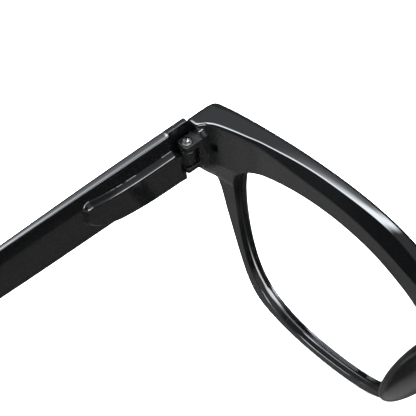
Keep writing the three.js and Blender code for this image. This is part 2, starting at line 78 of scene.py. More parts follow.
OUTLINE = np.array([
    [0.0, 39.0, 17.3, 34.75, 4.6, 1.5, 1.8, 0.8],
    [7.0, 39.3, 19.4, 36.2, 4.6, 1.6, 1.8, 0.8],
    [13.0, 40.2, 21.9, 37.45, 4.5, 1.7, 2.0, 0.8],
    [17.5, 41.7, 24.6, 38.4, 4.3, 2.0, 2.0, 0.8],
    [21.5, 43.4, 27.6, 39.2, 4.1, 2.2, 2.1, 0.8],
    [26.0, 44.8, 30.8, 39.8, 4.0, 2.2, 2.05, 0.8],
    [31.5, 45.9, 34.8, 40.4, 3.9, 1.95, 1.72, 0.8],
    [37.5, 46.5, 39.0, 40.75, 3.9, 1.8, 1.62, 0.8],
    [43.5, 46.85, 43.5, 40.65, 3.9, 1.75, 1.5, 0.8],
    [49.0, 47.0, 47.5, 40.2, 3.9, 1.0, 0.75, 0.8],
    [54.0, 46.9, 50.8, 39.5, 3.9, 0.55, 0.42, 0.8],
    [58.5, 46.75, 53.4, 38.65, 3.9, 0.4, 0.38, 0.8],
    [62.3, 46.5, 55.2, 37.75, 3.9, 0.3, 0.3, 1.0],
    [65.5, 46.2, 56.5, 36.7, 3.9, 0.25, 0.25, 1.9],
    [65.5, 42.5, 57.4, 35.5, 3.9, 0.25, 0.25, 2.1],
    [65.5, 39.0, 58.0, 34.1, 3.9, 0.25, 0.25, 2.0],
    [65.5, 35.6, 58.45, 32.4, 3.8, 0.25, 0.25, 1.8],
    [64.6, 33.4, 58.8, 30.3, 3.6, 0.5, 0.5, 1.3],
    [63.6, 30.9, 59.0, 28.0, 3.3, 0.7, 0.7, 1.0],
    [63.0, 27.6, 59.1, 25.5, 3.1, 0.8, 0.8, 1.0],
    [62.6, 24.0, 59.05, 22.4, 3.0, 0.8, 0.8, 1.0],
    [61.9, 20.6, 58.85, 19.2, 3.0, 0.8, 0.8, 1.0],
    [61.2, 17.0, 58.5, 16.2, 3.0, 0.8, 0.8, 1.0],
    [60.4, 13.2, 57.9, 13.0, 3.0, 0.8, 0.8, 1.0],
    [59.5, 9.6, 57.0, 9.8, 3.0, 0.8, 0.8, 1.0],
    [58.5, 6.6, 55.6, 7.0, 3.0, 0.8, 0.8, 1.0],
    [56.9, 3.7, 53.6, 4.5, 3.0, 0.8, 0.8, 1.0],
    [54.2, 1.4, 51.0, 2.5, 3.0, 0.8, 0.8, 1.0],
    [50.6, -0.4, 47.9, 1.0, 3.0, 0.8, 0.8, 1.0],
    [46.5, -1.8, 44.3, 0.0, 3.0, 0.8, 0.8, 1.0],
    [41.5, -2.8, 40.5, -0.6, 3.0, 0.8, 0.8, 1.0],
    [36.5, -3.2, 36.5, -0.8, 3.0, 0.8, 0.8, 1.0],
    [31.5, -2.9, 32.3, -0.55, 3.0, 0.8, 0.8, 1.0],
    [27.2, -1.35, 28.7, 0.55, 3.0, 0.8, 0.8, 1.0],
    [23.6, 1.6, 25.6, 2.9, 3.2, 0.8, 0.9, 1.0],
    [20.6, 5.4, 22.8, 6.0, 3.5, 0.9, 1.0, 1.0],
    [17.9, 9.3, 20.1, 9.5, 3.9, 0.9, 1.0, 1.0],
    [15.5, 13.0, 17.6, 13.0, 4.4, 0.9, 1.0, 1.0],
    [13.3, 16.7, 15.5, 16.6, 4.8, 0.9, 1.0, 1.0],
    [11.2, 20.6, 13.6, 20.2, 4.8, 0.9, 1.0, 1.0],
    [8.6, 24.5, 12.4, 23.7, 4.8, 0.9, 1.0, 1.0],
    [5.9, 28.2, 11.7, 26.3, 4.8, 1.0, 1.0, 1.0],
    [3.4, 30.8, 12.6, 28.8, 4.8, 1.0, 1.0, 1.0],
    [0.0, 31.8, 13.7, 30.8, 4.8, 1.0, 1.0, 1.0],
    [0.0, 34.2, 14.8, 32.3, 4.7, 0, 0, 0],
    [0.0, 36.6, 16.0, 33.6, 4.7, 0, 0, 0],
])
ROWS = len(OUTLINE)
CORNER_ROW, BRIDGE_ROW = 13, 43
SUB = 24


# ---------------------------------------------------------------- curves
def catmull(P, t, closed=False):
    """Centripetal Catmull-Rom through the rows of P, t from 0 to 1."""
    P = np.asarray(P, float)
    n = len(P)
    p = (n if closed else n - 1) * np.asarray(t, float)
    i = np.floor(p + 1e-9).astype(int)
    if not closed:
        i = np.minimum(i, n - 2)
    w = (p - i)[:, None]
    p1, p2 = P[i % n], P[(i + 1) % n]
    p0, p3 = P[(i - 1) % n].copy(), P[(i + 2) % n].copy()
    if not closed:
        p0[i == 0] = 2 * P[0] - P[1]
        p3[i + 2 >= n] = 2 * P[-1] - P[-2]
    d = lambda a, b: np.maximum(np.sqrt(np.linalg.norm(a - b, axis=1)), 1e-3)[:, None]
    d0, d1, d2 = d(p0, p1), d(p1, p2), d(p2, p3)
    t1 = ((p1 - p0) / d0 - (p2 - p0) / (d0 + d1) + (p2 - p1) / d1) * d1
    t2 = ((p2 - p1) / d1 - (p3 - p1) / (d1 + d2) + (p3 - p2) / d2) * d1
    return p1 + t1 * w + (-3 * p1 + 3 * p2 - 2 * t1 - t2) * w**2 + (2 * p1 - 2 * p2 + t1 + t2) * w**3


def blur(a, sigma, left, right):
    """Low-pass filter of a column that keeps broad curves in place.
    Ends carry on as wrap, odd (about the end value) or even."""
    k = int(5 * sigma)
    x = np.arange(-k, k + 1)
    g = np.exp(-(x**2) / (2.0 * sigma**2))
    g /= g.sum()
    kern = 2 * np.pad(g, k) - np.convolve(g, g)
    m = 2 * k
    a = np.asarray(a, float)
    idx = np.arange(m)

    def tail(mode, side):
        s = a[::-1] if side == "left" else a
        if mode == "wrap":
            src = a[len(a) - m:] if side == "left" else a[:m]
            return src
        j = np.minimum(idx + 1, len(a) - 1)
        ref = s[-1 - j]
        out = 2 * s[-1] - ref if mode == "odd" else ref
        return out[::-1] if side == "left" else out

    ext = np.concatenate([tail(left, "left"), a, tail(right, "right")])
    return np.convolve(ext, kern, mode="valid")


def clamp01(v):
    return np.clip(v, 0.0, 1.0)


def smoothstep(a, b, v):
    t = clamp01((np.asarray(v, float) - a) / (b - a))
    return t * t * (3 - 2 * t)


def front_y(x):
    return WRAP * np.asarray(x, float) ** 2


# rear surface of the end piece behind the plain rim, by x
_gx = np.arange(44.0, 68.0, 0.02)
_flat = JOINT_FACE_Y - front_y(_gx) - 3.9
_table = np.where(_gx < JOINT_FACE_X, np.interp(_gx, STEP[:, 0], STEP[:, 1]), _flat)
_soft = blur(_table, 40, "odd", "odd")
_crisp = blur(_table, 7, "odd", "odd")
_rise = _soft + (_crisp - _soft) * smoothstep(59.5, 61.5, _gx)


def rise(x, z):
    x, z = np.asarray(x, float), np.asarray(z, float)
    a = clamp01((x - 61.3) / (JOINT_FACE_X - 61.3))
    b = clamp01((x - JOINT_FACE_X) / (HALF_WIDTH - JOINT_FACE_X))
    foot = 31.2 - 0.3 * a
    head = (36.9 - 1.05 * a) * (1 - b) + 35.4 * b
    g = clamp01((z - foot) / (head - foot))
    g = g + 0.06 * (smoothstep(-0.1, 1.1, g) - g)
    return g * np.interp(x, _gx, _rise)


# ---------------------------------------------------------------- meshes
def new_object(name, verts, faces):
    me = bpy.data.meshes.new(name)
    me.from_pydata([tuple(v) for v in verts], [], [tuple(int(i) for i in f) for f in faces])
    me.update()
    ob = bpy.data.objects.new(name, me)
    bpy.context.scene.collection.objects.link(ob)
    return ob


def tidy(ob, merge=2e-7):
    bm = bmesh.new()
    bm.from_mesh(ob.data)
    bmesh.ops.remove_doubles(bm, verts=bm.verts, dist=merge)
    bmesh.ops.dissolve_degenerate(bm, edges=bm.edges, dist=merge)
    loose = [v for v in bm.verts if not v.link_faces]
    if loose:
        bmesh.ops.delete(bm, geom=loose, context="VERTS")
    bmesh.ops.recalc_face_normals(bm, faces=bm.faces)
    bm.to_mesh(ob.data)
    bm.free()
    ob.data.update()
    return ob


def grid_faces(n, m, closed_rows, closed_cols=True):
    i = np.arange(n if closed_rows else n - 1)[:, None]
    j = np.arange(m if closed_cols else m - 1)[None, :]
    a = (i % n) * m + (j % m)
    b = (i % n) * m + ((j + 1) % m)
    c = ((i + 1) % n) * m + ((j + 1) % m)
    d = ((i + 1) % n) * m + (j % m)
    return np.stack([a, b, c, d], -1).reshape(-1, 4)


def loft(name, rings, caps=True):
    """Closed skin over rings (n, m, 3) in design millimetres."""
    rings = np.asarray(rings, float)
    n, m = rings.shape[:2]
    faces = [list(f) for f in grid_faces(n, m, False)]
    if caps:
        faces.append(list(range(m)))
        faces.append([(n - 1) * m + j for j in range(m)][::-1])
    return tidy(new_object(name, place(rings.reshape(-1, 3)), faces))


def boolean(ob, other, operation, keep=False):
    m = ob.modifiers.new("cut", "BOOLEAN")
    m.operation = operation
    m.object = other
    try:
        m.solver = "MANIFOLD"
    except TypeError:
        m.solver = "EXACT"
    bpy.context.view_layer.update()
    deps = bpy.context.evaluated_depsgraph_get()
    me = bpy.data.meshes.new_from_object(ob.evaluated_get(deps))
    if len(me.polygons) < 4:
        m.solver = "EXACT"
        bpy.context.view_layer.update()
        deps = bpy.context.evaluated_depsgraph_get()
        me = bpy.data.meshes.new_from_object(ob.evaluated_get(deps))
    ob.modifiers.remove(m)
    ob.data = me
    if not keep:
        bpy.data.objects.remove(other)
    return ob


def box_solid(x0, x1, y0, y1, z0, z1, edge=0.0):
    """Box with its twelve edges rounded off by edge."""
    bm = bmesh.new()
    bmesh.ops.create_cube(bm, size=1.0)
    lo, hi = place((x0, y0, z0)), place((x1, y1, z1))
    for v in bm.verts:
        v.co = [lo[k] if v.co[k] < 0 else hi[k] for k in range(3)]
    if edge:
        bmesh.ops.bevel(bm, geom=bm.edges[:], offset=edge / 1000.0, segments=3, profile=0.5, affect="EDGES")
    me = bpy.data.meshes.new("box")
    bm.to_mesh(me)
    bm.free()
    ob = bpy.data.objects.new("box", me)
    bpy.context.scene.collection.objects.link(ob)
    return ob


def rounded_outline(corners, radii, seg=8):
    """Anticlockwise polygon with each corner rounded off."""
    P = np.asarray(corners, float)
    out = []
    n = len(P)
    for k in range(n):
        a, p, b = P[k - 1], P[k], P[(k + 1) % n]
        u, v = (a - p) / np.linalg.norm(a - p), (b - p) / np.linalg.norm(b - p)
        half = math.acos(max(-1, min(1, float(u @ v)))) / 2
        r = radii[k]
        if r <= 0:
            out.append(p)
            continue
        cut = r / math.tan(half)
        c = p + (u + v) / np.linalg.norm(u + v) * r / math.sin(half)
        s, e = p + u * cut - c, p + v * cut - c
        a0, a1 = math.atan2(s[1], s[0]), math.atan2(e[1], e[0])
        while a1 < a0:
            a1 += 2 * math.pi
        if a1 - a0 > math.pi:
            a1 -= 2 * math.pi
        for q in range(seg + 1):
            t = a0 + (a1 - a0) * q / seg
            out.append(c + r * np.array([math.cos(t), math.sin(t)]))
    return np.array(out)


def post(name, outline, z0, z1, edge=0.12, seg=4, flat_bottom=False):
    """Upright solid with the (x, y) outline, its end edges rounded by edge."""
    P = np.asarray(outline, float)
    d1 = np.roll(P, -1, 0) - P
    d1 /= np.maximum(np.linalg.norm(d1, axis=1), 1e-9)[:, None]
    d0 = np.roll(d1, 1, 0)
    nrm = np.stack([d0[:, 1] + d1[:, 1], -(d0[:, 0] + d1[:, 0])], 1)
    nrm /= np.maximum(np.linalg.norm(nrm, axis=1), 1e-9)[:, None]
    rings = []
    steps = [k / seg * math.pi / 2 for k in range(seg + 1)]
    low = [(z0 + edge * (1 - math.sin(t)), edge * (1 - math.cos(t))) for t in steps[::-1]]
    low = [(z0 + edge * (1 - math.cos(t)), edge * (1 - math.sin(t))) for t in steps]
    high = [(z1 - edge * (1 - math.cos(t)), edge * (1 - math.sin(t))) for t in steps[::-1]]
    if flat_bottom:
        low = [(z0, 0.0)]
    for z, inset in low + high:
        q = P - nrm * inset
        rings.append(np.column_stack([q, np.full(len(q), z)]))
    return loft(name, rings)


def disc_outline(cx, cy, r, n=64):
    t = np.arange(n) / n * 2 * math.pi
    return np.column_stack([cx + r * np.cos(t), cy + r * np.sin(t)])


def section_loop(corners):
    """corners: list of (xz (S,2), depth (S,), radius (S,) or number, arc points,
    points along the edge to the next corner). Returns (S, M, 3) as x, z, depth."""
    S = len(corners[0][0])
    P = np.stack([np.column_stack([c[0], c[1]]) for c in corners], 1)
    rad = np.stack([np.broadcast_to(np.asarray(c[2], float), (S,)) for c in corners], 1)
    ein, eout = P - np.roll(P, 1, 1), np.roll(P, -1, 1) - P
    lin, lout = np.linalg.norm(ein, axis=2), np.linalg.norm(eout, axis=2)
    rad = np.minimum(rad, 0.49 * np.minimum(lin, lout))
    ein = ein / np.maximum(lin, 1e-9)[..., None]
    eout = eout / np.maximum(lout, 1e-9)[..., None]
    a, b = P - ein * rad[..., None], P + eout * rad[..., None]
    out = []
    K = len(corners)
    for k in range(K):
        seg, sub = corners[k][3], corners[k][4]
        for j in range(seg + 1):
            t = j / seg
            out.append((1 - t) ** 2 * a[:, k] + 2 * t * (1 - t) * P[:, k] + t * t * b[:, k])
        n = (k + 1) % K
        for j in range(sub):
            t = (j + 1) / (sub + 1)
            out.append(b[:, k] * (1 - t) + a[:, n] * t)
    return np.stack(out, 1)


def mirror_object(ob, name):
    me = ob.data.copy()
    me.name = name
    me.transform(Matrix.Scale(-1, 4, (1, 0, 0)))
    me.flip_normals()
    other = bpy.data.objects.new(name, me)
    bpy.context.scene.collection.objects.link(other)
    return other


def finish_shading(ob, angle=38.0, weighted=True):
    me = ob.data
    me.shade_smooth()
    me.set_sharp_from_angle(angle=math.radians(angle))
    if weighted:
        m = ob.modifiers.new("normals", "WEIGHTED_NORMAL")
        m.keep_sharp = True
        m.weight = 60
        m.mode = "FACE_AREA"
    return ob


# ---------------------------------------------------------------- stations of the front
U = np.arange(ROWS * SUB) / SUB
_t = U / ROWS
raw_inner = catmull(OUTLINE[:, 2:4], _t, closed=True)
inner = np.column_stack([blur(raw_inner[:, k], 0.75 * SUB, "wrap", "wrap") for k in (0, 1)])

run_a = catmull(OUTLINE[:CORNER_ROW + 1, 0:2], np.linspace(0, 1, CORNER_ROW * SUB + 1))
run_b = np.concatenate([
    catmull(OUTLINE[CORNER_ROW:17, 0:2], np.linspace(0, 1, 3 * SUB + 1))[:-1],
    catmull(OUTLINE[16:BRIDGE_ROW + 1, 0:2], np.linspace(0, 1, (BRIDGE_ROW - 16) * SUB + 1)),
])
run_a = np.column_stack([blur(run_a[:, 0], 0.8 * SUB, "odd", "odd"), blur(run_a[:, 1], 0.8 * SUB, "even", "odd")])
run_b = np.column_stack([blur(run_b[:, 0], 0.6 * SUB, "odd", "odd"), blur(run_b[:, 1], 0.6 * SUB, "odd", "even")])
outer = np.concatenate([run_a[:-1], run_b])            # rows 0 to 43

# round the top outer corner
ic = CORNER_ROW * SUB
arc = np.concatenate([[0], np.cumsum(np.linalg.norm(np.diff(outer, axis=0), axis=1))])
CORNER_R = 1.6
near = np.abs(arc - arc[ic]) < CORNER_R
i0, i1 = np.where(near)[0][[0, -1]]
p_a, p_c, p_b = outer[i0].copy(), outer[ic].copy(), outer[i1].copy()
tau = (arc[i0:i1 + 1] - arc[i0]) / (arc[i1] - arc[i0])
tau = tau[:, None]
outer[i0:i1 + 1] = (1 - tau) ** 2 * p_a + 2 * tau * (1 - tau) * p_c + tau**2 * p_b

n_out = len(outer)
tang = np.gradient(outer, axis=0)
tang[0] = (1, 0)
tang[-1] = (-1, 0)
tang /= np.linalg.norm(tang, axis=1)[:, None]
n_outer = np.column_stack([-tang[:, 1], tang[:, 0]])   # outward
n_outer = np.column_stack([blur(n_outer[:, k], 3, "odd" if k == 0 else "even", "odd" if k == 0 else "even") for k in (0, 1)])
n_outer /= np.linalg.norm(n_outer, axis=1)[:, None]
n_outer[0], n_outer[-1] = (0, 1), (0, -1)

it = (np.roll(inner, -1, 0) - np.roll(inner, 1, 0)) / 2
it /= np.linalg.norm(it, axis=1)[:, None]
n_inner = np.column_stack([-it[:, 1], it[:, 0]])       # into the rim

_rows = np.arange(ROWS)


def row_value(col, last):
    v = np.interp(U[:last * SUB + 1] if last < ROWS else U, np.append(_rows, ROWS), np.append(OUTLINE[:, col], OUTLINE[0, col]))
    return v


thick = blur(row_value(4, ROWS), 0.6 * SUB, "wrap", "wrap")
ch_a = blur(row_value(5, BRIDGE_ROW), 0.7 * SUB, "even", "even")
ch_y = blur(row_value(6, BRIDGE_ROW), 0.7 * SUB, "even", "even")
edge_r = blur(row_value(7, BRIDGE_ROW), 0.5 * SUB, "even", "even")

pick = []
for k in range(n_out):
    row = k / SUB
    every = 1 if 11.5 <= row <= 17.5 else 3
    if k % every == 0 or k == n_out - 1:
        pick.append(k)
pick = np.array(pick)
wall_pick = np.arange(BRIDGE_ROW * SUB + 6, ROWS * SUB, 6)
all_pick = np.concatenate([pick, wall_pick])

S = len(all_pick)
q = inner[all_pick]
nq = n_inner[all_pick]
tk = thick[all_pick]
wall_z = np.linspace(31.8 + 1.05, 39.0 - 1.6, len(wall_pick))
o = np.concatenate([outer[pick], np.column_stack([np.zeros(len(wall_pick)), wall_z])])
no = np.concatenate([n_outer[pick], np.tile([[-1.0, 0.0]], (len(wall_pick), 1))])
ca = np.concatenate([ch_a[pick], np.zeros(len(wall_pick))])
cy = np.concatenate([ch_y[pick], np.zeros(len(wall_pick))])
ro = np.concatenate([edge_r[pick], np.zeros(len(wall_pick))])

zero = np.zeros(S)
groove = q + nq * 0.8
across = (o - q) / np.linalg.norm(o - q, axis=1)[:, None]
ro = ro / np.maximum(0.6, np.abs((across * no).sum(1)))
rows_at = np.concatenate([pick / SUB, np.full(len(wall_pick), 44.0)])
crown = 0.20 * (1 - smoothstep(6.0, 10.0, rows_at)) * (rows_at < 20)   # top of the brow only
front_loop = section_loop([
    (q, tk, 0.20, 5, 6),                                # inner rear edge
    (q + nq * 0.20, zero + 1.9, 0.05, 1, 1),
    (groove, zero + 1.9, 0.0, 1, 1),
    (groove, zero + 0.4, 0.0, 1, 1),
    (q, zero + 0.4, 0.03, 1, 0),
    (q, zero, 0.33, 5, 22),                             # inner front edge
    (o, zero, ro, 8, 2),                                # outer front edge
    (o - no * crown[:, None] * 0.12, ro + (tk - cy - ro) * 0.35, 2.0, 4, 2),   # the top is slightly crowned
    (o - no * crown[:, None] * 0.48, ro + (tk - cy - ro) * 0.70, 2.0, 4, 2),
    (o - no * crown[:, None], tk - cy, 0.28, 6, 9),     # where the wall meets the chamfer
    (o - no * ca[:, None], tk, 0.22, 5, 56),            # where the chamfer meets the rear face
])
X, Z, D = front_loop[..., 0], front_loop[..., 1], front_loop[..., 2]
Y = front_y(X) + D + clamp01(D / tk[:, None]) * rise(X, Z)
front_pts = np.stack([X, Y, np.maximum(Z, FOOT_Z)], -1)
S_, M_ = front_pts.shape[:2]
half_faces = grid_faces(S_, M_, True)
flat_pts = front_pts.reshape(-1, 3)
on_plane = np.abs(flat_pts[:, 0]) < 1e-6
keep_face = ~on_plane[half_faces].all(axis=1)
half_faces = half_faces[keep_face]
mirror_pts = flat_pts * np.array([-1, 1, 1])
faces = np.concatenate([half_faces, half_faces[:, ::-1] + len(flat_pts)])
front = tidy(new_object("front_moulding", place(np.concatenate([flat_pts, mirror_pts])), faces))


def both_sides(make):
    a = make()
    b = mirror_object(a, a.name + "_m")
    return a, b


def boss_solid():
    """Block round the hinge leaf, leaning outward towards the top of the end piece."""
    out = rounded_outline([(61.2, 36.95), (63.6, 36.3), (63.6, 46.0), (62.75, 46.0), (61.95, 45.4), (61.2, 43.9)],
                          [0.2, 0, 0, 0.25, 0.9, 0.9], seg=8)
    edge = 0.16
    d1 = np.roll(out, -1, 0) - out
    d1 /= np.maximum(np.linalg.norm(d1, axis=1), 1e-9)[:, None]
    d0 = np.roll(d1, 1, 0)
    nrm = np.stack([d0[:, 1] + d1[:, 1], -(d0[:, 0] + d1[:, 0])], 1)
    nrm /= np.maximum(np.linalg.norm(nrm, axis=1), 1e-9)[:, None]
    rings = []
    for y, inset in [(8.0, 0.0), (JOINT_FACE_Y - edge, 0.0)] + [
            (JOINT_FACE_Y + 0.005 - edge * (1 - math.sin(t)), edge * (1 - math.cos(t)))
            for t in [k / 4 * math.pi / 2 for k in range(1, 5)]]:
        p = out - nrm * inset
        rings.append(np.column_stack([p[:, 0], np.full(len(p), y), p[:, 1]]))
    return loft("boss", rings)


for part in both_sides(boss_solid):
    boolean(front, part, "UNION")
for part in both_sides(lambda: box_solid(60.1, 61.18, 8.2, 20, 40.1, 41.9)):
    boolean(front, part, "DIFFERENCE")
finish_shading(front, 40)


# ---------------------------------------------------------------- lenses
def lens_mesh(name):
    sel = np.arange(0, ROWS * SUB, 4)
    rim = inner[sel] + n_inner[sel] * 0.5
    c = np.array([36.0, 19.5])
    ks = np.concatenate([[1.0, 0.985, 0.96], np.linspace(0.93, 0.06, 18)])
    rows = []
    for y_off, order in ((0.55, ks), (1.75, ks[::-1])):
        for k in order:
            p = c + (rim - c) * k
            y = front_y(p[:, 0]) + y_off - 0.9 * (1 - k * k)
            if k == 1.0:
                y = y + (0.08 if y_off < 1 else -0.08)
                p = c + (rim - c) * 1.0
            rows.append(np.column_stack([p[:, 0], y, p[:, 1]]))
    rows = np.array(rows)                       # (rings, points, 3)
    n, m = rows.shape[:2]
    front_rows, back_rows = rows[:len(ks)], rows[len(ks):]
    ordered = np.concatenate([front_rows[::-1], back_rows[::-1]])
    pts = list(ordered.reshape(-1, 3))
    faces = [list(f) for f in grid_faces(n, m, False)]
    for row, flip in ((0, False), (n - 1, True)):
        centre = ordered[row].mean(0)
        centre[1] = front_y(c[0]) + (0.55 if row == 0 else 1.75) - 0.9
        ci = len(pts)
        pts.append(centre)
        for j in range(m):
            a, b = row * m + j, row * m + (j + 1) % m
            faces.append([ci, a, b] if not flip else [ci, b, a])
    return tidy(new_object(name, place(np.array(pts)), faces))


# ---------------------------------------------------------------- nose pads
def pad_mesh(name):
    nu, nv = 96, 64
    u = np.arange(nu) / nu * 2 * math.pi
    v = (np.arange(nv) + 0.5) / nv * math.pi
    uu, vv = np.meshgrid(u, v)
    p = np.stack([np.cos(uu) * np.sin(vv), np.sin(uu) * np.sin(vv), np.cos(vv)], -1)
    p = p * np.array([2.45, 6.65, 12.9])
    a = -0.29
    rz = np.array([[math.cos(a), -math.sin(a), 0], [math.sin(a), math.cos(a), 0], [0, 0, 1]])
    a = 0.22
    rx = np.array([[1, 0, 0], [0, math.cos(a), -math.sin(a)], [0, math.sin(a), math.cos(a)]])
    a = -0.44
    ry = np.array([[math.cos(a), 0, math.sin(a)], [0, 1, 0], [-math.sin(a), 0, math.cos(a)]])
    p = p @ rz.T @ rx.T @ ry.T + np.array([13.4, 5.9, 22.6])
    limit = front_y(p[..., 0]) + 4.76
    gap = p[..., 1] - limit
    soft = 0.35
    p[..., 1] = limit + np.where(gap > soft, gap, np.where(gap < -soft, 0, (gap + soft) ** 2 / (4 * soft)))
    pts = list(p.reshape(-1, 3))
    faces = [list(f) for f in grid_faces(nv, nu, False)]
    for row, flip in ((0, True), (nv - 1, False)):
        ci = len(pts)
        pts.append(p[row].mean(0))
        for j in range(nu):
            a, b = row * nu + j, row * nu + (j + 1) % nu
            faces.append([ci, b, a] if not flip else [ci, a, b])
    return tidy(new_object(name, place(np.array(pts)), faces))


# ---------------------------------------------------------------- temples
TEMPLE = np.array([
    [TEMPLE_START_Y, 40.95, 11.2, 1.95, 1.9],
    [20, 40.95, 11.2, 2.3, 1.9],
    [32, 41.0, 11.15, 2.5, 1.7],
    [46, 41.0, 11.1, 2.7, 1.3],
    [62, 40.95, 10.4, 2.8, 1.1],
    [78, 40.7, 9.3, 2.8, 1.0],
    [90, 40.2, 8.6, 2.9, 1.0],
    [99, 38.9, 8.2, 3.0, 1.1],
    [107, 35.6, 8.2, 3.1, 1.1],
    [115, 30.2, 8.3, 3.1, 1.1],
    [123, 23.6, 8.6, 3.1, 1.1],
    [131, 16.2, 9.0, 3.0, 1.0],
    [138.5, 8.2, 9.2, 2.9, 1.0],
    [144.6, 1.1, 9.0, 2.8, 1.0],
])
PANEL = np.array([(11.0, 35.2), (16.0, 35.2), (21.5, 35.3), (25.5, 35.65), (28.9, 36.2), (31.2, 37.0), (33.4, 38.1),
                  (34.9, 39.6), (35.4, 41.4), (35.2, 43.4), (34.3, 44.1), (32.2, 43.75), (29.6, 43.4), (26.5, 43.15),
                  (22.0, 43.0), (16.0, 43.05), (11.0, 43.15)])


def panel_height(y, z):
    """0 outside the raised panel's outline, 1 on its flat top."""
    line = catmull(PANEL, np.arange(len(PANEL) * 10) / (len(PANEL) * 10.0), closed=True)
    # the two ends at y = 11 lie inside the cut-out, so their rounding never shows
    a, b = line, np.roll(line, -1, 0)
    p = np.column_stack([y.ravel(), z.ravel()])
    best = np.full(len(p), 1e9)
    inside = np.zeros(len(p), bool)
    for s, e in zip(a, b):
        d = e - s
        l2 = float(d @ d)
        if l2 < 1e-12:
            continue
        t = np.clip(((p - s) @ d) / l2, 0, 1)
        best = np.minimum(best, np.linalg.norm(p - s - t[:, None] * d, axis=1))
        cross = ((s[1] > p[:, 1]) != (e[1] > p[:, 1])) & (
            p[:, 0] < (e[0] - s[0]) * (p[:, 1] - s[1]) / ((e[1] - s[1]) or 1e-12) + s[0])
        inside ^= cross
    d = np.where(inside, best, -best)
    t = clamp01((d + 0.12) / 0.78)
    h = np.where(t < 0.15, t * t / 0.30, t - 0.075) / 0.925  # small cove at the foot
    h = 1 - (1 - h) ** 1.8
    return h.reshape(y.shape)


